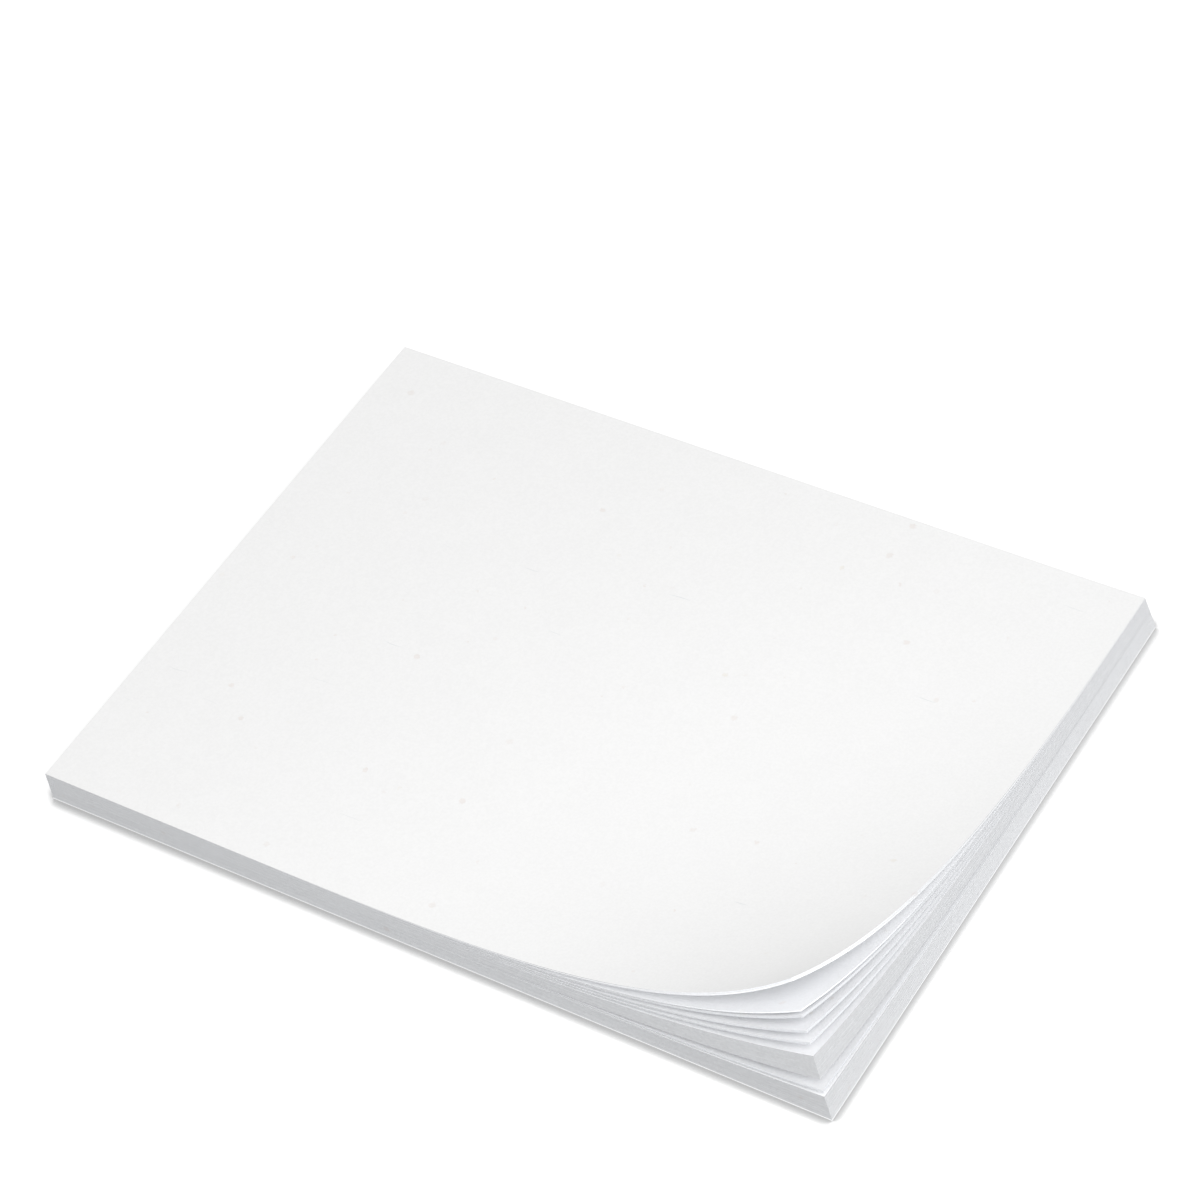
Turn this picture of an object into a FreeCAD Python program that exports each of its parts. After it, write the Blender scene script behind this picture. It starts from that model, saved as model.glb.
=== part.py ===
import FreeCAD, Part
import math
import os

import Sketcher

# A pad of sticky notes that lies flat on a table, in millimetres.
# X runs along the long edge, Y to the back and Z up, from the middle of the pad's underside.
# The notes are glued along the left short edge. Their front right corner has been thumbed:
# it curls up and fans out, the highest note furthest.
# Every note is bent along one fold direction and keeps its length, so that the
# corner of a note that stands steeper also draws back further.

doc = FreeCAD.newDocument("note_pad")
sheet = doc.addObject("Spreadsheet::Sheet", "sizes")

# Plain sizes: lengths in millimetres, angles in degrees.
SIZES = (
    ("pad_length", 101.0),
    ("pad_width", 75.0),
    ("note_thickness", 0.083),
    ("backing_thickness", 0.2),
    ("curl_reach", 62.0),
    ("curl_bearing", 38.0),
    ("curl_power", 2.6),
    ("end_cut_angle", 15.6),
    ("slit_root", 0.05),
)

# Groups of notes that stay together, from the bottom up: the name, how many notes, and the
# slopes that the group's underside and top reach at the corner.
GROUPS = (
    ("base_group", 23, 0.0, 6.0),
    ("lifted_notes", 2, 8.2, 8.8),
    ("middle_group", 16, 14.3, 21.9),
    ("fourth_notes", 2, 27.2, 27.8),
    ("third_notes", 2, 32.2, 32.8),
    ("second_notes", 2, 38.4, 39.0),
    ("loose_note", 1, 40.7, 41.0),
    ("under_note", 1, 51.2, 51.5),
    ("top_note", 1, 53.7, 54.0),
)

# How far the tool shapes run past the pad, and how finely its curves are followed.
OVERRUN = 6.0
CURL_POINTS = 12
EDGE_POINTS = 16
INTEGRATION_STEPS = 24


def fill_sheet():
    rows = list(SIZES)
    for name, count, under_slope, over_slope in GROUPS:
        rows.append((name + "_count", count))
        rows.append((name + "_under", under_slope))
        rows.append((name + "_over", over_slope))
    for row, (alias, value) in enumerate(rows, start=1):
        sheet.set("A%d" % row, alias)
        sheet.set("B%d" % row, str(value))
        sheet.setAlias("B%d" % row, alias)
    doc.recompute()


def size(alias):
    return float(sheet.get(alias))


def curl_direction():
    bearing = math.radians(size("curl_bearing"))
    return FreeCAD.Vector(math.cos(bearing), -math.sin(bearing), 0)


def fold_direction():
    bearing = math.radians(size("curl_bearing"))
    return FreeCAD.Vector(math.sin(bearing), math.cos(bearing), 0)


def free_corner():
    return FreeCAD.Vector(size("pad_length") / 2, -size("pad_width") / 2, 0)


def curled(travel, tip_slope):
    """Distance along and height of a note at an arc length past the start of its curl.

    The slope grows as a power of the arc length, up to tip_slope at the corner.
    """
    if travel <= 0:
        return travel, 0.0
    reach = size("curl_reach")
    power = size("curl_power")
    step = travel / INTEGRATION_STEPS
    along = 0.0
    height = 0.0
    for index in range(INTEGRATION_STEPS):
        middle = (index + 0.5) * step
        slope = math.radians(tip_slope) * (middle / reach) ** power
        along += math.cos(slope) * step
        height += math.sin(slope) * step
    return along, height


def group_levels():
    """Rest height and corner slope of the underside and the top of each group."""
    levels = []
    height = size("backing_thickness")
    for name, _, _, _ in GROUPS:
        under = (height, size(name + "_under"))
        height += size(name + "_count") * size("note_thickness")
        over = (height, size(name + "_over"))
        levels.append((under, over))
    return levels


def profile_point(travel, level):
    """A point of a level's side view, in the upright plane through the free corner."""
    rest_height, tip_slope = level
    along, height = curled(travel, tip_slope)
    place = free_corner() + curl_direction() * (along - size("curl_reach"))
    return place + FreeCAD.Vector(0, 0, rest_height + height)


def profile_curve(level, start, end):
    points = []
    for index in range(CURL_POINTS + 1):
        travel = start + (end - start) * index / CURL_POINTS
        points.append(profile_point(travel, level))
    curve = Part.BSplineCurve()
    curve.interpolate(points)
    return curve.toShape()


def slit_start(below, above):
    """Arc length at which the gap between two levels has opened to slit_root."""
    reach = size("curl_reach")
    power = size("curl_power")
    opening = math.radians(above[1] - below[1])
    share = size("slit_root") * (power + 1) / (reach * opening)
    return reach * share ** (1 / (power + 1))


def line(first, last):
    return Part.makeLine(first, last)


def fan_profile(levels):
    """The pad's side view across the fold: one outline with a slit between each two groups."""
    reach = size("curl_reach")
    past_tip = reach + OVERRUN
    pad_diagonal = math.hypot(size("pad_length"), size("pad_width"))
    far_left = reach - pad_diagonal - OVERRUN
    bottom = (size("backing_thickness"), 0.0)
    top = levels[-1][1]
    edges = [line(profile_point(far_left, bottom), profile_point(past_tip, bottom))]
    edges.append(line(profile_point(past_tip, bottom), profile_point(past_tip, levels[0][1])))
    for (_, below), (above, upper) in zip(levels, levels[1:]):
        root = slit_start(below, above)
        edges.append(profile_curve(below, past_tip, root))
        edges.append(line(profile_point(root, below), profile_point(root, above)))
        edges.append(profile_curve(above, root, past_tip))
        edges.append(line(profile_point(past_tip, above), profile_point(past_tip, upper)))
    edges.append(profile_curve(top, past_tip, 0.0))
    edges.append(line(profile_point(0.0, top), profile_point(far_left, top)))
    edges.append(line(profile_point(far_left, top), profile_point(far_left, bottom)))
    return Part.Face(Part.Wire(edges))


def edge_point(x, y, level):
    """Where a point of a note's edge goes: set back by the slanted cut, then bent with its level."""
    rest_height, tip_slope = level
    share = x / size("pad_length") + 0.5
    height_in_stack = rest_height - size("backing_thickness")
    set_back = math.tan(math.radians(size("end_cut_angle"))) * height_in_stack * share
    rest = FreeCAD.Vector(x - set_back, y, 0)
    travel = (rest - free_corner()).dot(curl_direction()) + size("curl_reach")
    along, height = curled(travel, tip_slope)
    return rest + curl_direction() * (along - travel) + FreeCAD.Vector(0, 0, rest_height + height)


def edge_curve(start, end, level, flat_height):
    points = []
    for index in range(EDGE_POINTS + 1):
        share = index / EDGE_POINTS
        x = start[0] + (end[0] - start[0]) * share
        y = start[1] + (end[1] - start[1]) * share
        point = edge_point(x, y, level)
        if flat_height is not None:
            point.z = flat_height
        points.append(point)
    curve = Part.BSplineCurve()
    curve.interpolate(points)
    return curve.toShape()


def edge_outline(level, flat_height=None):
    """The four edges of a note at a level, as one closed wire."""
    half_length = size("pad_length") / 2
    half_width = size("pad_width") / 2
    corners = (
        (-half_length, -half_width),
        (-half_length, half_width),
        (half_length, half_width),
        (half_length, -half_width),
    )
    edges = []
    for start, end in zip(corners, corners[1:] + corners[:1]):
        edges.append(edge_curve(start, end, level, flat_height))
    return Part.Wire(edges)


def trim_outlines(levels):
    """Outlines at the pad's foot, in the middle of each gap and above the top note."""
    bottom = (size("backing_thickness"), 0.0)
    outlines = [edge_outline(bottom)]
    for (_, below), (above, _) in zip(levels, levels[1:]):
        outlines.append(edge_outline((below[0], (below[1] + above[1]) / 2)))
    top_height, top_slope = levels[-1][1]
    above_top = (top_height + size("note_thickness"), top_slope)
    outlines.append(edge_outline(above_top))
    lid_height = edge_point(free_corner().x, free_corner().y, above_top).z + OVERRUN
    outlines.append(edge_outline(above_top, lid_height))
    return outlines


def add_feature(name, shape):
    feature = doc.addObject("Part::Feature", name)
    feature.Shape = shape
    return feature


def make_note_sheets():
    """All notes as one solid: the fanned side view run along the fold, trimmed to their edges."""
    levels = group_levels()
    profile = add_feature("fan_profile", fan_profile(levels))
    run = doc.addObject("Part::Extrusion", "fan_run")
    run.Base = profile
    run.DirMode = "Custom"
    run.Dir = fold_direction()
    run.Solid = True
    run.Symmetric = True
    run.setExpression("LengthFwd", "2 * (sizes.pad_length + sizes.pad_width)")
    trim = doc.addObject("Part::Loft", "edge_trim")
    trim.Sections = [
        add_feature("outline_%d" % number, wire)
        for number, wire in enumerate(trim_outlines(levels), start=1)
    ]
    trim.Solid = True
    trim.Ruled = True
    notes = doc.addObject("Part::MultiCommon", "note_sheets")
    notes.Shapes = [run, trim]
    notes.Refine = True
    notes.Label = "note_sheets"
    return notes


def make_backing_sheet():
    """The plain sheet that carries the pad, cut flush with the notes."""
    body = doc.addObject("PartDesign::Body", "backing_sheet")
    body.Label = "backing_sheet"
    sketch = body.newObject("Sketcher::SketchObject", "backing_outline")
    planes = [plane for plane in body.Origin.OriginFeatures if plane.Role == "XY_Plane"]
    sketch.AttachmentSupport = [(planes[0], "")]
    sketch.MapMode = "FlatFace"
    half_length = size("pad_length") / 2
    half_width = size("pad_width") / 2
    corners = [
        FreeCAD.Vector(-half_length, -half_width, 0),
        FreeCAD.Vector(half_length, -half_width, 0),
        FreeCAD.Vector(half_length, half_width, 0),
        FreeCAD.Vector(-half_length, half_width, 0),
    ]
    for start, end in zip(corners, corners[1:] + corners[:1]):
        sketch.addGeometry(Part.LineSegment(start, end), False)
    for side in range(4):
        sketch.addConstraint(Sketcher.Constraint("Coincident", side, 2, (side + 1) % 4, 1))
    for side, direction in enumerate(("Horizontal", "Vertical", "Horizontal", "Vertical")):
        sketch.addConstraint(Sketcher.Constraint(direction, side))
    sketch.addConstraint(Sketcher.Constraint("Symmetric", 0, 1, 1, 2, -1, 1))
    length = sketch.addConstraint(Sketcher.Constraint("Distance", 0, size("pad_length")))
    width = sketch.addConstraint(Sketcher.Constraint("Distance", 1, size("pad_width")))
    sketch.setExpression("Constraints[%d]" % length, "sizes.pad_length")
    sketch.setExpression("Constraints[%d]" % width, "sizes.pad_width")
    pad = body.newObject("PartDesign::Pad", "backing_pad")
    pad.Profile = sketch
    pad.setExpression("Length", "sizes.backing_thickness")
    return body


def write_parts(pieces):
    doc.recompute()
    for thing in doc.Objects:
        if "Invalid" in thing.State or "Error" in thing.State:
            raise RuntimeError("%s failed: %s" % (thing.Label, thing.State))
    for piece in pieces:
        if piece.Shape.isNull() or not piece.Shape.isValid() or not piece.Shape.Solids:
            raise RuntimeError("%s has no valid solid" % piece.Label)
    os.makedirs("parts", exist_ok=True)
    for piece in pieces:
        piece.Shape.exportStep("parts/%s.step" % piece.Label)
        print(piece.Label, len(piece.Shape.Solids), "solid,", round(piece.Shape.Volume, 1), "mm3")


fill_sheet()
write_parts([make_note_sheets(), make_backing_sheet()])
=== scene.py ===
"""A pad of plain sticky notes with a thumbed corner, modelled note by note around its CAD frame.

Every length is in metres and every place in the frame's own axes: X along the long edge, Y to the
back, Z up, from the middle of the pad's underside.
"""

import math
import random

import bpy
from bpy.props import FloatProperty, FloatVectorProperty, IntProperty, PointerProperty, StringProperty
from mathutils import Matrix, Vector


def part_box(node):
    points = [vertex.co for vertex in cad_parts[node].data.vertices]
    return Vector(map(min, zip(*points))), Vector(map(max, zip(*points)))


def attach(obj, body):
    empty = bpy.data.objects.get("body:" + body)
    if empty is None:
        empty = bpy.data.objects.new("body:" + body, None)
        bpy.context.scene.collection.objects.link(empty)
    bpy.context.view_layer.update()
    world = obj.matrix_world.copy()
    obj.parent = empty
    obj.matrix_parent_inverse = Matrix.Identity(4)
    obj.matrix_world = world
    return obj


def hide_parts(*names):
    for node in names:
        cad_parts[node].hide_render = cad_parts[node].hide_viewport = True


bl_info = {
    "name": "Sticky Note Pad",
    "version": (1, 0, 0),
    "blender": (4, 5, 0),
    "location": "View3D > Sidebar > Note Pad",
    "description": "Builds a pad of sticky notes with a curled, fanned corner",
    "category": "Add Mesh",
}

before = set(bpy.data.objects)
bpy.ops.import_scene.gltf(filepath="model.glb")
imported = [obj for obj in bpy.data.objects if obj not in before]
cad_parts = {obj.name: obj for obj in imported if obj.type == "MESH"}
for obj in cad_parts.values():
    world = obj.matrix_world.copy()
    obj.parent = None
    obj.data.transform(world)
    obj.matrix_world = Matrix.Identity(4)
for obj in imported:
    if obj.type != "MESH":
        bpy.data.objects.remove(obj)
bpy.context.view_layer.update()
NOTES_LOW, NOTES_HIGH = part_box("note_sheets")
BACKING_LOW, BACKING_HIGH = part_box("backing_sheet")

MM = 0.001
BODY = "root"

# The groups of notes from the bottom up: how many notes, the slopes in degrees that the group's
# underside and top reach at the free corner, and the finishes of its faces and of its edges. Below
# the top note the face finishes are copies of one paper with painted light and painted shade in them.
NOTE_GROUPS = {
    "base_notes": (23, 0.0, 6.0, "painted_light_gap_paper", "base_edge"),
    "lifted_notes": (2, 8.2, 8.8, "painted_shade_lifted_paper", "leaf_edge"),
    "middle_notes": (16, 14.3, 21.9, "painted_light_fan_paper", "cut_edge"),
    "fourth_notes": (2, 27.2, 27.8, "painted_light_fan_paper", "leaf_edge"),
    "third_notes": (2, 32.2, 32.8, "painted_light_fan_paper", "leaf_edge"),
    "second_notes": (2, 38.4, 39.0, "painted_light_fan_paper", "leaf_edge"),
    "loose_note": (1, 40.7, 41.0, "painted_light_gap_paper", "loose_edge"),
    "under_note": (1, 53.2, 53.66, "painted_light_gap_paper", "loose_edge"),
    "top_note": (1, 53.7, 54.0, "top_paper", "loose_edge"),
}

# The note that shows as a pale rim past the one above it.
SLIPPED_NOTE = "under_note"

# How finely the curl is followed: the points of its line, the strips of a note and the steps of the
# sum along it. The line's length is counted in reaches of the curl, so that it ends past the corner.
CURL_POINTS = 40
CURL_STRIPS = 42
INTEGRATION_STEPS = 24
LINE_LENGTH = 1.1

# The vertex group of a note's lower face, and the angle past which its edges stay sharp.
LOWER_FACE = "lower_face"
SHARP_ANGLE = math.radians(35)

# Gloss of the finishes, and how rough each one is.
SPECULAR_LEVEL = 0.25
PAPER_ROUGHNESS = 0.9
EDGE_ROUGHNESS = 0.95
CARD_ROUGHNESS = 0.7

# What a noise mostly runs between, and the shades that each noise gives: its darkest and lightest.
NOISE_SPAN = (0.3, 0.7)
CLOUD_SHADES = (0.992, 1.0)
TOOTH_SHADES = (0.985, 1.015)
CUT_SHADES = (0.94, 1.02)
CARD_SHADES = (0.97, 1.0)

# Sizes of the paper's clouds and tooth, of the grain along a cut and of the card's clouds.
CLOUD_SIZE = 5 * MM
TOOTH_SIZE = 0.3 * MM
CUT_GRAIN_SIZE = 0.4 * MM
CARD_CLOUD_SIZE = 1.2 * MM

# The smallest fleck and the faintest one as shares of the largest and the darkest, and where a
# fleck's rim fades out, in radii. A fleck is brown past the share where pink ends.
SMALLEST_FLECK = 0.4
FAINTEST_FLECK = 0.3
FLECK_RIM = (0.6, 1.05)
PINK_TO_BROWN = (0.55, 0.65)

# The fibres' distance in widths, the scale of their pattern upwards, low so that enough of them lie
# in a note's face, where a fibre's rim fades out, in half widths, the share of the fibres that stays
# unseen, and each layer's turn and shift.
FIBRE_DISTANCE = 13
FIBRE_UPRIGHT_SCALE = 0.3
FIBRE_RIM = (0.5, 1.15)
UNSEEN_SHARE = 0.2
FIBRE_LAYERS = ((math.radians(8), 0.0), (math.radians(-14), 0.31), (math.radians(27), 0.57))

# Where an edge turns to its painted light and shade at the free corner: shares of the curl's reach
# back from there.
FREE_SPAN = (0.45, 0.1)

# Which property of the finish holds the painted light and shade that each kind of edge has at the
# free corner.
CORNER_LIGHT_AND_SHADE_COLOURS = {
    "base_edge": "painted_shade_corner_colour",
    "cut_edge": "cut_edge_colour",
    "leaf_edge": "leaf_edge_colour",
    "loose_edge": "loose_edge_colour",
}

# Sun lamps: azimuth, elevation, strength and softness, with the angles in degrees.
SUNS = {
    "right_fill": (88, 25, 0.27, 50),
    "front_fill": (15, 10, 0.16, 60),
}

# The soft box at the lifted corner: azimuth and elevation in degrees, its size, and the point that
# it looks at, counted from the free corner of the notes' box on the floor.
CORNER_LAMP_FROM = (52, 58)
CORNER_LAMP_SIZE = 50 * MM
CORNER_LAMP_AIM = Vector((-3 * MM, 1.5 * MM, 13 * MM))

# The floor: its size, how far it lies under the pad, the colour that it gives back to the pad, and
# how strongly and how finely the painted shadow along the pad's foot is drawn.
FLOOR_SIZE = 4.0
FLOOR_GAP = 0.02 * MM
FLOOR_BOUNCE = (0.85, 0.86, 0.87, 1.0)
PAINTED_SHADOW_GAIN = 2.3
PAINTED_SHADOW_SAMPLES = 8

# The camera's sensor in millimetres, and the nearest that it sees in metres.
SENSOR_WIDTH = 36.0
CLIP_START = 0.01


class NotePadSizes(bpy.types.PropertyGroup):
    """Sizes of the notes and of their curl."""

    note_pitch: FloatProperty(
        name="Note Pitch",
        description="Height that one note takes in the stack",
        default=0.083 * MM,
        precision=6,
        unit="LENGTH",
    )
    paper_thickness: FloatProperty(
        name="Paper Thickness",
        description="Thickness of one note, a little under the pitch",
        default=0.076 * MM,
        precision=6,
        unit="LENGTH",
    )
    curl_reach: FloatProperty(
        name="Curl Reach",
        description="How far from the free corner the notes start to bend",
        default=62 * MM,
        unit="LENGTH",
    )
    curl_bearing: FloatProperty(
        name="Curl Bearing",
        description="Direction of the curl, turned from the long edge",
        default=math.radians(38),
        subtype="ANGLE",
    )
    curl_power: FloatProperty(
        name="Curl Power",
        description="How strongly the bend gathers at the free corner",
        default=2.6,
    )
    end_cut_angle: FloatProperty(
        name="End Cut Angle",
        description="Lean of the free short end, where the stack was cut and has slipped",
        default=math.radians(15.6),
        subtype="ANGLE",
    )
    edge_scatter: FloatProperty(
        name="Edge Scatter",
        description="How far single notes stand out of or back from the stack",
        default=0.01 * MM,
        precision=6,
        unit="LENGTH",
    )
    note_slip: FloatProperty(
        name="Note Slip",
        description="How far the note under the top one stands out past it at the free corner",
        default=0.45 * MM,
        precision=6,
        unit="LENGTH",
    )
    air_share: FloatProperty(
        name="Air Share",
        description="Share of a group's opening that is left as air between its notes",
        default=0.05,
        subtype="FACTOR",
    )
    seed: IntProperty(name="Seed", description="Seed of the scatter", default=11)


class NotePadFinish(bpy.types.PropertyGroup):
    """Colours of the paper, with painted light and painted shade in the lower notes' copies and in
    the edges, and the sizes of what is in it.
    """

    top_paper_colour: FloatVectorProperty(
        name="Top Paper",
        description="Colour of the top note's face",
        default=(0.905, 0.905, 0.903),
        subtype="COLOR",
    )
    # Painted light: lighter and bluer than the top note's paper, to lift the shade in the gap under
    # the top note.
    painted_light_gap_paper_colour: FloatVectorProperty(
        name="Inner Paper",
        description="Colour of the notes that daylight hasn't warmed",
        default=(0.96, 0.966, 0.98),
        subtype="COLOR",
    )
    # Painted light: lighter than the top note's paper, to lift the shade between the fanned notes.
    painted_light_fan_paper_colour: FloatVectorProperty(
        name="Stacked Paper",
        description="Colour of the notes in the middle of the fan",
        default=(0.925, 0.93, 0.945),
        subtype="COLOR",
    )
    # Painted shade: darker than the other papers, for the shade that falls on the lowest notes that
    # hang free.
    painted_shade_lifted_paper_colour: FloatVectorProperty(
        name="Low Paper",
        description="Colour of the lowest notes that hang free",
        default=(0.80, 0.806, 0.82),
        subtype="COLOR",
    )
    # Partly real and partly painted shade: a rough cut is a little darker than the face, and the rest
    # of this darkness is painted shade between the stacked notes.
    cut_edge_colour: FloatVectorProperty(
        name="Cut Edge",
        description="Colour of the cut faces of the notes that lie together",
        default=(0.545, 0.551, 0.561),
        subtype="COLOR",
    )
    # Painted shade: the lowest cut faces are drawn darker towards the free corner.
    painted_shade_corner_colour: FloatVectorProperty(
        name="Corner Edge",
        description="Colour of the lowest cut faces at the free corner, soiled by thumbs",
        default=(0.507, 0.512, 0.522),
        subtype="COLOR",
    )
    # Painted shade: the free edges of two notes that hang together are drawn darker than the paper,
    # though lighter than the cut faces.
    leaf_edge_colour: FloatVectorProperty(
        name="Leaf Edge",
        description="Colour of the free edges of two notes that hang together",
        default=(0.68, 0.695, 0.715),
        subtype="COLOR",
    )
    # Painted light: a loose note's edge is drawn lighter than the paper, for the light that shines
    # through it.
    loose_edge_colour: FloatVectorProperty(
        name="Loose Edge",
        description="Colour of a loose note's edge, which light shines through",
        default=(0.93, 0.945, 0.965),
        subtype="COLOR",
    )
    fleck_colour: FloatVectorProperty(
        name="Flecks",
        description="Tint of the darkest pink flecks in the paper",
        default=(0.943, 0.913, 0.896),
        subtype="COLOR",
    )
    brown_fleck_colour: FloatVectorProperty(
        name="Brown Flecks",
        description="Tint of the darkest brown flecks in the paper",
        default=(0.948, 0.926, 0.887),
        subtype="COLOR",
    )
    fibre_colour: FloatVectorProperty(
        name="Fibres",
        description="Colour of the darkest fibres in the paper",
        default=(0.80, 0.815, 0.82),
        subtype="COLOR",
    )
    backing_colour: FloatVectorProperty(
        name="Backing",
        description="Colour of the backing sheet",
        default=(0.90, 0.905, 0.91),
        subtype="COLOR",
    )
    fleck_spacing: FloatProperty(
        name="Fleck Spacing",
        description="Mean distance from fleck to fleck inside the paper",
        default=4.1 * MM,
        unit="LENGTH",
    )
    fleck_radius: FloatProperty(
        name="Fleck Radius",
        description="Radius of a large fleck",
        default=0.5 * MM,
        unit="LENGTH",
    )
    fibre_length: FloatProperty(
        name="Fibre Length",
        description="Length of a long fibre",
        default=3.2 * MM,
        unit="LENGTH",
    )
    fibre_width: FloatProperty(
        name="Fibre Width",
        description="Width of a fibre",
        default=0.15 * MM,
        unit="LENGTH",
    )
    tooth_height: FloatProperty(
        name="Tooth Height",
        description="Height of the paper's fine grain",
        default=0.006 * MM,
        precision=6,
        unit="LENGTH",
    )


class NotePadStage(bpy.types.PropertyGroup):
    """Camera, lamps and floor."""

    camera_azimuth: FloatProperty(
        name="Camera Azimuth",
        description="Camera's direction round the pad",
        default=math.radians(38.99),
        subtype="ANGLE",
    )
    camera_elevation: FloatProperty(
        name="Camera Elevation",
        description="Camera's height above the table as an angle",
        default=math.radians(46.81),
        subtype="ANGLE",
    )
    camera_roll: FloatProperty(
        name="Camera Roll",
        description="Turn of the camera about its own line of sight",
        default=math.radians(-10.61),
        subtype="ANGLE",
    )
    camera_distance: FloatProperty(
        name="Camera Distance",
        description="Distance from the camera to the point that it looks at",
        default=483.7 * MM,
        unit="LENGTH",
    )
    camera_target: FloatVectorProperty(
        name="Camera Target",
        description="Point on the table that the camera looks at",
        default=(-9.27 * MM, 14.74 * MM, 0.0),
        subtype="TRANSLATION",
    )
    camera_lens: FloatProperty(
        name="Camera Lens",
        description="Focal length in millimetres on a 36 mm sensor",
        default=125.56,
    )
    world_strength: FloatProperty(
        name="World Strength",
        description="Light from all round",
        default=0.77,
    )
    corner_lamp_distance: FloatProperty(
        name="Corner Lamp Distance",
        description="Distance from the soft box to the lifted corner",
        default=120 * MM,
        unit="LENGTH",
    )
    corner_lamp_strength: FloatProperty(
        name="Corner Lamp Strength",
        description="Light of the soft box on the lifted corner",
        default=0.35,
    )
    # Painted shadow: how far the dark line along the pad's foot spreads.
    painted_shadow_width: FloatProperty(
        name="Contact Width",
        description="How far the dark line along the pad's foot spreads on the floor",
        default=1.6 * MM,
        unit="LENGTH",
    )
    # Painted shadow: how dark the floor is drawn at the pad's foot.
    painted_shadow_depth: FloatProperty(
        name="Contact Depth",
        description="How dark the floor is drawn right at the pad's foot",
        default=0.8,
        subtype="FACTOR",
    )
    floor_lift: FloatProperty(
        name="Floor Lift",
        description="Glow that keeps the open floor white for the camera",
        default=0.3,
    )


def add_node(tree, kind, **settings):
    node = tree.nodes.new(kind)
    for name, value in settings.items():
        if name in node.inputs:
            node.inputs[name].default_value = value
        else:
            setattr(node, name, value)
    return node


def connect(tree, source, target):
    tree.links.new(source, target)


def maths(tree, operation, first, second):
    """A Math node; its inputs are sockets or plain numbers."""
    node = add_node(tree, "ShaderNodeMath", operation=operation)
    for socket, value in zip(node.inputs, (first, second)):
        if isinstance(value, bpy.types.NodeSocket):
            connect(tree, value, socket)
        else:
            socket.default_value = value
    return node.outputs[0]


def mapped_range(tree, value, low, high, to_low, to_high):
    node = add_node(tree, "ShaderNodeMapRange", interpolation_type="SMOOTHSTEP")
    connect(tree, value, node.inputs["Value"])
    node.inputs["From Min"].default_value = low
    node.inputs["From Max"].default_value = high
    node.inputs["To Min"].default_value = to_low
    node.inputs["To Max"].default_value = to_high
    return node.outputs["Result"]


def shade(tree, value, shades):
    """A noise turned into a shade to multiply a colour by."""
    return mapped_range(tree, value, *NOISE_SPAN, *shades)


def mixed_colour(tree, share, first, second):
    """A mix of two colours, each one a socket or three numbers."""
    node = add_node(tree, "ShaderNodeMix", data_type="RGBA")
    connect(tree, share, node.inputs["Factor"])
    for socket, value in zip((node.inputs[6], node.inputs[7]), (first, second)):
        if isinstance(value, bpy.types.NodeSocket):
            connect(tree, value, socket)
        else:
            socket.default_value = (*value, 1.0)
    return node.outputs[2]


def noise(tree, place, feature_size, detail):
    node = add_node(tree, "ShaderNodeTexNoise", Scale=1 / feature_size, Detail=detail)
    connect(tree, place, node.inputs["Vector"])
    return node


def wandering(tree, place, feature_size, amount):
    """The place moved a little by noise, so that what is drawn there has uneven edges."""
    wander = noise(tree, place, feature_size, detail=1.0)
    centred = add_node(tree, "ShaderNodeVectorMath", operation="SUBTRACT")
    connect(tree, wander.outputs["Color"], centred.inputs[0])
    centred.inputs[1].default_value = (0.5, 0.5, 0.5)
    scaled = add_node(tree, "ShaderNodeVectorMath", operation="SCALE", Scale=amount)
    connect(tree, centred.outputs[0], scaled.inputs[0])
    moved = add_node(tree, "ShaderNodeVectorMath", operation="ADD")
    connect(tree, place, moved.inputs[0])
    connect(tree, scaled.outputs[0], moved.inputs[1])
    return moved.outputs[0]


def flecked(tree, place, finish, paper):
    """The paper's colour with uneven specks of many sizes, far apart, some pink and some brown."""
    spacing = finish.fleck_spacing
    uneven = wandering(tree, place, finish.fleck_radius / 2, finish.fleck_radius)
    cells = add_node(tree, "ShaderNodeTexVoronoi", Scale=1 / spacing)
    connect(tree, uneven, cells.inputs["Vector"])
    separate = add_node(tree, "ShaderNodeSeparateColor")
    connect(tree, cells.outputs["Color"], separate.inputs[0])
    radius = mapped_range(tree, separate.outputs[0], 0.0, 1.0, SMALLEST_FLECK, 1.0)
    radius = maths(tree, "MULTIPLY", radius, finish.fleck_radius / spacing)
    inside = maths(tree, "DIVIDE", cells.outputs["Distance"], radius)
    spot = mapped_range(tree, inside, *FLECK_RIM, 1.0, 0.0)
    depth = mapped_range(tree, separate.outputs[1], 0.0, 1.0, FAINTEST_FLECK, 1.0)
    brownness = mapped_range(tree, separate.outputs[2], *PINK_TO_BROWN, 0.0, 1.0)
    fleck = mixed_colour(tree, brownness, finish.fleck_colour, finish.brown_fleck_colour)
    tint = mixed_colour(tree, maths(tree, "MULTIPLY", spot, depth), (1.0, 1.0, 1.0), fleck)
    tinted = add_node(tree, "ShaderNodeVectorMath", operation="MULTIPLY")
    connect(tree, paper, tinted.inputs[0])
    connect(tree, tint, tinted.inputs[1])
    return tinted.outputs[0]


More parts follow.
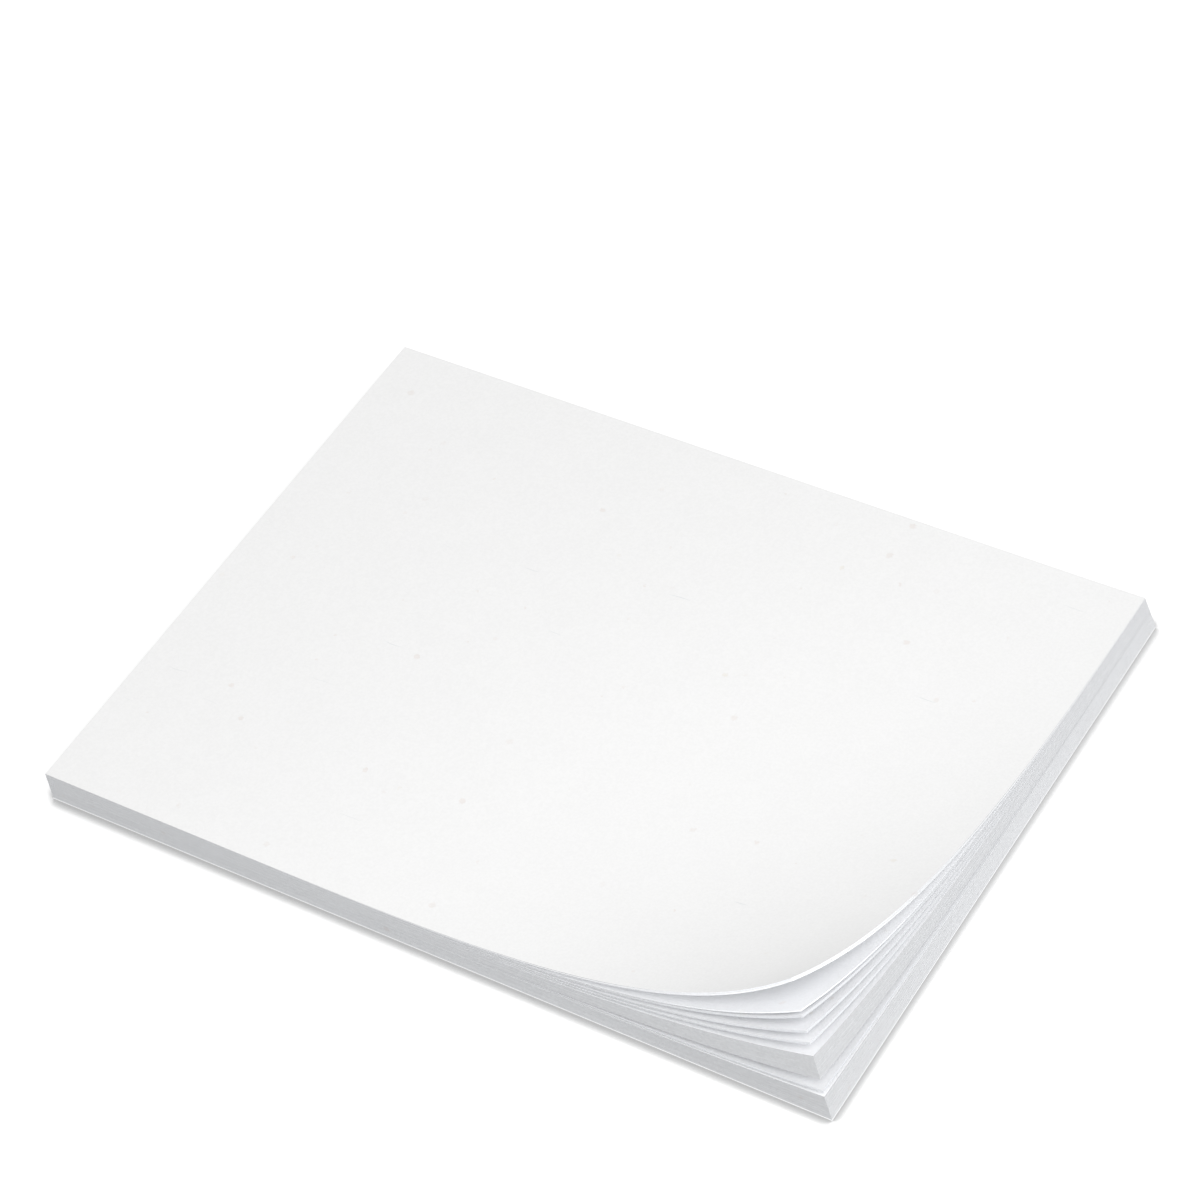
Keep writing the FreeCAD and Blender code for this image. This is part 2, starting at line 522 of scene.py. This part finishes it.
def fibres(tree, place, finish, turn, shift):
    """Thin curved dashes that lie one way, far apart: 1 in a fibre's middle and 0 off it."""
    bent = wandering(tree, place, finish.fibre_length / 2, finish.fibre_length / 7)
    stretch = finish.fibre_length / finish.fibre_width
    spacing = FIBRE_DISTANCE * finish.fibre_width
    laid = add_node(tree, "ShaderNodeMapping")
    laid.inputs["Location"].default_value = (shift, shift, shift)
    laid.inputs["Rotation"].default_value = (0.0, 0.0, turn)
    laid.inputs["Scale"].default_value = (1 / stretch, 1.0, FIBRE_UPRIGHT_SCALE)
    connect(tree, bent, laid.inputs["Vector"])
    cells = add_node(tree, "ShaderNodeTexVoronoi", Scale=1 / spacing)
    connect(tree, laid.outputs[0], cells.inputs["Vector"])
    inside = maths(tree, "DIVIDE", cells.outputs["Distance"], finish.fibre_width / (2 * spacing))
    line = mapped_range(tree, inside, *FIBRE_RIM, 1.0, 0.0)
    separate = add_node(tree, "ShaderNodeSeparateColor")
    connect(tree, cells.outputs["Color"], separate.inputs[0])
    depth = mapped_range(tree, separate.outputs[0], UNSEEN_SHARE, 1.0, 0.0, 1.0)
    return maths(tree, "MULTIPLY", line, depth)


def new_finish(name, roughness):
    """An empty material with its Principled shader, its Object coordinates and its tree."""
    material = bpy.data.materials.new(name)
    material.use_nodes = True
    tree = material.node_tree
    shader = tree.nodes["Principled BSDF"]
    shader.inputs["Roughness"].default_value = roughness
    shader.inputs["Specular IOR Level"].default_value = SPECULAR_LEVEL
    place = add_node(tree, "ShaderNodeTexCoord").outputs["Object"]
    return material, tree, shader, place


def add_bump(tree, shader, height, amount):
    bump = add_node(tree, "ShaderNodeBump", Strength=1.0, Distance=amount)
    connect(tree, height, bump.inputs["Height"])
    connect(tree, bump.outputs[0], shader.inputs["Normal"])


def note_paper(name, finish):
    """Note paper: cloudy formation, fine tooth, sparse flecks and short fibres."""
    material, tree, shader, place = new_finish(name, PAPER_ROUGHNESS)
    cloud = noise(tree, place, CLOUD_SIZE, detail=3.0)
    clouds = shade(tree, cloud.outputs[0], CLOUD_SHADES)
    tooth = noise(tree, place, TOOTH_SIZE, detail=2.0)
    grain = shade(tree, tooth.outputs[0], TOOTH_SHADES)
    paper = add_node(tree, "ShaderNodeVectorMath", operation="SCALE")
    # Below the top note this colour holds painted light and painted shade: the copies are lit and
    # shaded versions of one paper.
    paper.inputs[0].default_value = getattr(finish, name + "_colour")
    connect(tree, maths(tree, "MULTIPLY", clouds, grain), paper.inputs["Scale"])
    speckled = flecked(tree, place, finish, paper.outputs[0])
    lines = fibres(tree, place, finish, *FIBRE_LAYERS[0])
    for turn, shift in FIBRE_LAYERS[1:]:
        lines = maths(tree, "MAXIMUM", lines, fibres(tree, place, finish, turn, shift))
    lined = mixed_colour(tree, lines, speckled, finish.fibre_colour)
    connect(tree, lined, shader.inputs["Base Color"])
    add_bump(tree, shader, tooth.outputs[0], finish.tooth_height)
    return material


def share_hanging_free(tree, place):
    """0 where a note lies on the stack and 1 where the curl has lifted it off: the mask of the edges'
    painted light and shade.
    """
    sizes = bpy.context.scene.note_pad_sizes
    across = curl_direction(sizes)
    ahead = add_node(tree, "ShaderNodeVectorMath", operation="DOT_PRODUCT")
    connect(tree, place, ahead.inputs[0])
    ahead.inputs[1].default_value = across
    corner = free_corner().dot(across)
    start = corner - FREE_SPAN[0] * sizes.curl_reach
    end = corner - FREE_SPAN[1] * sizes.curl_reach
    return mapped_range(tree, ahead.outputs["Value"], start, end, 0.0, 1.0)


def note_edge(name, finish):
    """The knife-cut edge of a note: cooler and darker than its face, the darkness partly painted
    shade between the stacked notes, turning to painted light and shade at the free corner, and
    roughened along the cut.
    """
    material, tree, shader, place = new_finish(name, EDGE_ROUGHNESS)
    grain = noise(tree, place, CUT_GRAIN_SIZE, detail=3.0)
    free = share_hanging_free(tree, place)
    corner_light_and_shade_colour = getattr(finish, CORNER_LIGHT_AND_SHADE_COLOURS[name])
    edge = add_node(tree, "ShaderNodeVectorMath", operation="SCALE")
    # Painted shade along the cut, turning to each kind's painted light and shade at the free corner.
    connect(tree, mixed_colour(tree, free, finish.cut_edge_colour, corner_light_and_shade_colour), edge.inputs[0])
    connect(tree, shade(tree, grain.outputs[0], CUT_SHADES), edge.inputs["Scale"])
    speckled = flecked(tree, place, finish, edge.outputs[0])
    connect(tree, speckled, shader.inputs["Base Color"])
    add_bump(tree, shader, grain.outputs[0], finish.tooth_height)
    return material


def backing_card(name, finish):
    """The smoother, denser sheet under the notes."""
    material, tree, shader, place = new_finish(name, CARD_ROUGHNESS)
    cloud = noise(tree, place, CARD_CLOUD_SIZE, detail=4.0)
    card = add_node(tree, "ShaderNodeVectorMath", operation="SCALE")
    card.inputs[0].default_value = finish.backing_colour
    connect(tree, shade(tree, cloud.outputs[0], CARD_SHADES), card.inputs["Scale"])
    connect(tree, card.outputs[0], shader.inputs["Base Color"])
    add_bump(tree, shader, cloud.outputs[0], finish.tooth_height)
    return material


def finish_named(name, make):
    """The material of that name, made on first use."""
    return bpy.data.materials.get(name) or make(name, bpy.context.scene.note_pad_finish)


def select_only(*things):
    bpy.ops.object.select_all(action="DESELECT")
    for thing in things:
        thing.select_set(True)
    bpy.context.view_layer.objects.active = things[0]


def curl_direction(sizes):
    """The direction across the fold, from the glued side towards the free corner."""
    return Vector((math.cos(sizes.curl_bearing), -math.sin(sizes.curl_bearing), 0.0))


def free_corner():
    return Vector((BACKING_HIGH.x, BACKING_LOW.y, 0.0))


def curled(sizes, travel, tip_slope):
    """Distance along and height at an arc length past the start of the curl."""
    step = travel / INTEGRATION_STEPS
    along = 0.0
    height = 0.0
    for index in range(INTEGRATION_STEPS):
        slope = tip_slope * ((index + 0.5) * step / sizes.curl_reach) ** sizes.curl_power
        along += math.cos(slope) * step
        height += math.sin(slope) * step
    return along, height


def curl_line(sizes, tip_slope, rest_height):
    """The curve that a note is bent along. It starts where the curl does and runs past the corner."""
    data = bpy.data.curves.new("curl_line", "CURVE")
    data.dimensions = "3D"
    spline = data.splines.new("BEZIER")
    spline.bezier_points.add(CURL_POINTS)
    for index, point in enumerate(spline.bezier_points):
        travel = LINE_LENGTH * sizes.curl_reach * index / CURL_POINTS
        along, height = curled(sizes, travel, tip_slope)
        point.co = (along, 0.0, height)
        point.handle_left_type = "AUTO"
        point.handle_right_type = "AUTO"
    line = bpy.data.objects.new("curl_line", data)
    bpy.context.collection.objects.link(line)
    line.location = free_corner() - curl_direction(sizes) * sizes.curl_reach
    line.location.z = rest_height
    line.rotation_euler.z = -sizes.curl_bearing
    return line


def flat_note(sizes, finishes):
    """One flat note with its thickness, cut into strips so that it bends cleanly.

    The finishes are the one of its faces and the one of its edges.
    """
    size = BACKING_HIGH - BACKING_LOW
    bpy.ops.mesh.primitive_plane_add(size=1, location=(0.0, 0.0, 0.0))
    note = bpy.context.object
    note.name = "flat_note"
    note.scale = (size.x, size.y, 1.0)
    bpy.ops.object.transform_apply(location=False, rotation=False, scale=True)
    across = curl_direction(sizes)
    fold_start = free_corner() - across * sizes.curl_reach
    bpy.ops.object.mode_set(mode="EDIT")
    for index in range(CURL_STRIPS):
        bpy.ops.mesh.select_all(action="SELECT")
        place = fold_start + across * (sizes.curl_reach * index / CURL_STRIPS)
        bpy.ops.mesh.bisect(plane_co=place, plane_no=across)
    bpy.ops.object.mode_set(mode="OBJECT")
    for finish in finishes:
        note.data.materials.append(finish)
    note.vertex_groups.new(name=LOWER_FACE)
    wall = note.modifiers.new("thickness", "SOLIDIFY")
    wall.thickness = sizes.paper_thickness
    wall.offset = 1.0
    wall.material_offset_rim = 1
    wall.shell_vertex_group = LOWER_FACE
    bpy.ops.object.modifier_apply(modifier=wall.name)
    return note


def slip_forward(sizes, note):
    """Let a note stand out past the one above it, most at the free corner."""
    across = curl_direction(sizes)
    for vertex in note.data.vertices:
        travel = (vertex.co - free_corner()).dot(across) + sizes.curl_reach
        share = max(travel / sizes.curl_reach, 0.0)
        vertex.co += across * sizes.note_slip * share**2


def bend_face(sizes, note, tip_slope, rest_height, upper):
    """Curl a note's upper face, or its lower one, along its own line."""
    line = curl_line(sizes, tip_slope, rest_height)
    bend = note.modifiers.new("curl", "CURVE")
    bend.object = line
    bend.vertex_group = LOWER_FACE
    bend.invert_vertex_group = upper
    bpy.ops.object.modifier_apply(modifier=bend.name)
    bpy.data.objects.remove(line)


def bent_note(sizes, pattern, slopes, rest_height, shift):
    """A copy of the flat note, cut back at its free end, laid at its height and curled.

    The slopes are those that its lower and its upper face reach at the free corner.
    """
    note = pattern.copy()
    note.data = pattern.data.copy()
    bpy.context.collection.objects.link(note)
    length = BACKING_HIGH.x - BACKING_LOW.x
    cut_back = math.tan(sizes.end_cut_angle) * (rest_height - BACKING_HIGH.z)
    share = (length - cut_back) / length
    note.scale.x = share
    note.location = (-cut_back / 2 + shift.x, shift.y, rest_height)
    select_only(note)
    bpy.ops.object.transform_apply(location=True, rotation=False, scale=True)
    bend_face(sizes, note, slopes[0], rest_height, False)
    bend_face(sizes, note, slopes[1], rest_height, True)
    return note


def group_rest_height(sizes, name):
    """Height of the underside of a group's lowest note where the stack is flat."""
    below = 0
    for other, (count, *_) in NOTE_GROUPS.items():
        if other == name:
            break
        below += count
    return BACKING_HIGH.z + below * sizes.note_pitch


class NOTEPAD_OT_note_group(bpy.types.Operator):
    """Add one group of notes that have stayed together in the fanned corner"""

    bl_idname = "note_pad.note_group"
    bl_label = "Note Group"

    group: StringProperty(name="Group", description="Which group of notes", default="top_note")

    def execute(self, context):
        sizes = context.scene.note_pad_sizes
        count, under_slope, over_slope, paper, edge = NOTE_GROUPS[self.group]
        rest_height = group_rest_height(sizes, self.group)
        dice = random.Random("%d %s" % (sizes.seed, self.group))
        finishes = (finish_named(paper, note_paper), finish_named(edge, note_edge))
        pattern = flat_note(sizes, finishes)
        if self.group == SLIPPED_NOTE:
            slip_forward(sizes, pattern)
        opening = math.radians(over_slope - under_slope) / count
        notes = []
        for index in range(count):
            lower = math.radians(under_slope) + opening * index
            upper = lower + opening * (1 - sizes.air_share)
            shift = Vector((dice.uniform(-1, 1), dice.uniform(-1, 1), 0.0)) * sizes.edge_scatter
            height = rest_height + index * sizes.note_pitch
            notes.append(bent_note(sizes, pattern, (lower, upper), height, shift))
        bpy.data.objects.remove(pattern)
        select_only(*notes)
        if count > 1:
            bpy.ops.object.join()
        piece = notes[0]
        piece.name = self.group
        bpy.ops.object.shade_smooth_by_angle(angle=SHARP_ANGLE)
        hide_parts("note_sheets")
        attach(piece, BODY)
        return {"FINISHED"}


class NOTEPAD_OT_backing(bpy.types.Operator):
    """Give the backing sheet its card finish"""

    bl_idname = "note_pad.backing"
    bl_label = "Backing Sheet"

    def execute(self, context):
        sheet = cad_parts["backing_sheet"]
        sheet.data.materials.clear()
        sheet.data.materials.append(finish_named("backing_card", backing_card))
        return {"FINISHED"}


def from_round(azimuth, elevation):
    """Unit vector towards a camera or lamp at that azimuth and elevation."""
    flat = math.cos(elevation)
    return Vector((math.sin(azimuth) * flat, -math.cos(azimuth) * flat, math.sin(elevation)))


def add_camera(stage):
    back = from_round(stage.camera_azimuth, stage.camera_elevation)
    right = Vector((math.cos(stage.camera_azimuth), math.sin(stage.camera_azimuth), 0.0))
    up = back.cross(right)
    roll = stage.camera_roll
    rolled_right = right * math.cos(roll) + up * math.sin(roll)
    rolled_up = up * math.cos(roll) - right * math.sin(roll)
    place = Vector(stage.camera_target) + back * stage.camera_distance
    bpy.ops.object.camera_add(location=place)
    camera = bpy.context.object
    camera.name = "camera"
    turn = Matrix((rolled_right, rolled_up, back)).transposed()
    camera.rotation_euler = turn.to_euler()
    camera.data.lens = stage.camera_lens
    camera.data.sensor_width = SENSOR_WIDTH
    camera.data.clip_start = CLIP_START
    bpy.context.scene.camera = camera


def add_sun(name, azimuth, elevation, strength, softness):
    """A sun lamp from that side. Strength 1 lights a face square to it as the colour is written."""
    towards = from_round(math.radians(azimuth), math.radians(elevation))
    bpy.ops.object.light_add(type="SUN", location=towards)
    lamp = bpy.context.object
    lamp.name = name
    lamp.rotation_euler = towards.to_track_quat("Z", "Y").to_euler()
    lamp.data.energy = strength * math.pi
    lamp.data.angle = math.radians(softness)


def add_corner_lamp(stage):
    """A soft box close to the lifted corner. It reaches into the gaps between the notes."""
    azimuth, elevation = CORNER_LAMP_FROM
    towards = from_round(math.radians(azimuth), math.radians(elevation))
    tip = Vector((NOTES_HIGH.x, NOTES_LOW.y, 0.0)) + CORNER_LAMP_AIM
    bpy.ops.object.light_add(type="AREA", location=tip + towards * stage.corner_lamp_distance)
    lamp = bpy.context.object
    lamp.name = "corner_lamp"
    lamp.rotation_euler = towards.to_track_quat("Z", "Y").to_euler()
    lamp.data.size = CORNER_LAMP_SIZE
    lamp.data.energy = stage.corner_lamp_strength * (math.pi * stage.corner_lamp_distance) ** 2


def white_to_view(tree):
    """1 for what the camera, a mirror or a glass sees directly, and 0 for light that bounces."""
    path = add_node(tree, "ShaderNodeLightPath")
    seen = maths(tree, "MAXIMUM", path.outputs["Is Camera Ray"], path.outputs["Is Glossy Ray"])
    return maths(tree, "MAXIMUM", seen, path.outputs["Is Transmission Ray"])


def add_world(stage):
    world = bpy.data.worlds.new("pale_studio")
    bpy.context.scene.world = world
    world.use_nodes = True
    tree = world.node_tree
    background = tree.nodes["Background"]
    background.inputs["Color"].default_value = (1.0, 1.0, 1.0, 1.0)
    seen = white_to_view(tree)
    gain = maths(tree, "MULTIPLY", seen, 1.0 - stage.world_strength)
    connect(tree, maths(tree, "ADD", gain, stage.world_strength), background.inputs["Strength"])


def floor_finish(stage):
    """White paper sweep: plain white in the open, with the pad's shadow from the lamps kept and a
    painted shadow drawn along its foot.
    """
    material = bpy.data.materials.new("studio_floor")
    material.use_nodes = True
    tree = material.node_tree
    tree.nodes.remove(tree.nodes["Principled BSDF"])
    output = tree.nodes["Material Output"]
    bounce = add_node(tree, "ShaderNodeBsdfDiffuse", Color=FLOOR_BOUNCE)
    # Painted shadow: the floor's colour is darkened by the occlusion near the pad's foot, on top of
    # the lamps' own shadow.
    contact = add_node(tree, "ShaderNodeAmbientOcclusion", Distance=stage.painted_shadow_width)
    contact.samples = PAINTED_SHADOW_SAMPLES
    hidden = maths(tree, "SUBTRACT", 1.0, contact.outputs["AO"])
    painted_shadow = maths(tree, "MULTIPLY", hidden, PAINTED_SHADOW_GAIN)
    painted_shadow = maths(tree, "MINIMUM", painted_shadow, stage.painted_shadow_depth)
    white = add_node(tree, "ShaderNodeBsdfDiffuse")
    connect(tree, maths(tree, "SUBTRACT", 1.0, painted_shadow), white.inputs["Color"])
    glow = add_node(tree, "ShaderNodeEmission", Strength=stage.floor_lift)
    view = add_node(tree, "ShaderNodeAddShader")
    connect(tree, white.outputs[0], view.inputs[0])
    connect(tree, glow.outputs[0], view.inputs[1])
    choice = add_node(tree, "ShaderNodeMixShader")
    connect(tree, white_to_view(tree), choice.inputs[0])
    connect(tree, bounce.outputs[0], choice.inputs[1])
    connect(tree, view.outputs[0], choice.inputs[2])
    connect(tree, choice.outputs[0], output.inputs["Surface"])
    return material


def add_floor(stage):
    bpy.ops.mesh.primitive_plane_add(size=FLOOR_SIZE, location=(0.0, 0.0, -FLOOR_GAP))
    floor = bpy.context.object
    floor.name = "studio_floor"
    floor.data.materials.append(floor_finish(stage))


class NOTEPAD_OT_stage(bpy.types.Operator):
    """Add the floor, the lamps, the world and the camera"""

    bl_idname = "note_pad.stage"
    bl_label = "Studio Stage"

    def execute(self, context):
        stage = context.scene.note_pad_stage
        add_floor(stage)
        add_world(stage)
        for name, values in SUNS.items():
            add_sun(name, *values)
        add_corner_lamp(stage)
        add_camera(stage)
        context.scene.view_settings.view_transform = "Standard"
        return {"FINISHED"}


class NOTEPAD_PT_sidebar(bpy.types.Panel):
    """Lists what the pad is built of"""

    bl_label = "Note Pad"
    bl_idname = "NOTEPAD_PT_sidebar"
    bl_space_type = "VIEW_3D"
    bl_region_type = "UI"
    bl_category = "Note Pad"

    def draw(self, context):
        layout = self.layout
        for name in NOTE_GROUPS:
            layout.operator("note_pad.note_group", text=name.replace("_", " ")).group = name
        layout.operator("note_pad.backing")
        layout.operator("note_pad.stage")
        for settings in ("note_pad_sizes", "note_pad_finish", "note_pad_stage"):
            group = getattr(context.scene, settings)
            box = layout.box()
            for prop in group.__annotations__:
                box.prop(group, prop)


CLASSES = (
    NotePadSizes,
    NotePadFinish,
    NotePadStage,
    NOTEPAD_OT_note_group,
    NOTEPAD_OT_backing,
    NOTEPAD_OT_stage,
    NOTEPAD_PT_sidebar,
)


def register():
    for kind in CLASSES:
        bpy.utils.register_class(kind)
    bpy.types.Scene.note_pad_sizes = PointerProperty(type=NotePadSizes)
    bpy.types.Scene.note_pad_finish = PointerProperty(type=NotePadFinish)
    bpy.types.Scene.note_pad_stage = PointerProperty(type=NotePadStage)


def unregister():
    del bpy.types.Scene.note_pad_stage
    del bpy.types.Scene.note_pad_finish
    del bpy.types.Scene.note_pad_sizes
    for kind in reversed(CLASSES):
        bpy.utils.unregister_class(kind)


def main():
    register()
    for name in NOTE_GROUPS:
        bpy.ops.note_pad.note_group(group=name)
    bpy.ops.note_pad.backing()
    bpy.ops.note_pad.stage()


if __name__ == "__main__":
    main()
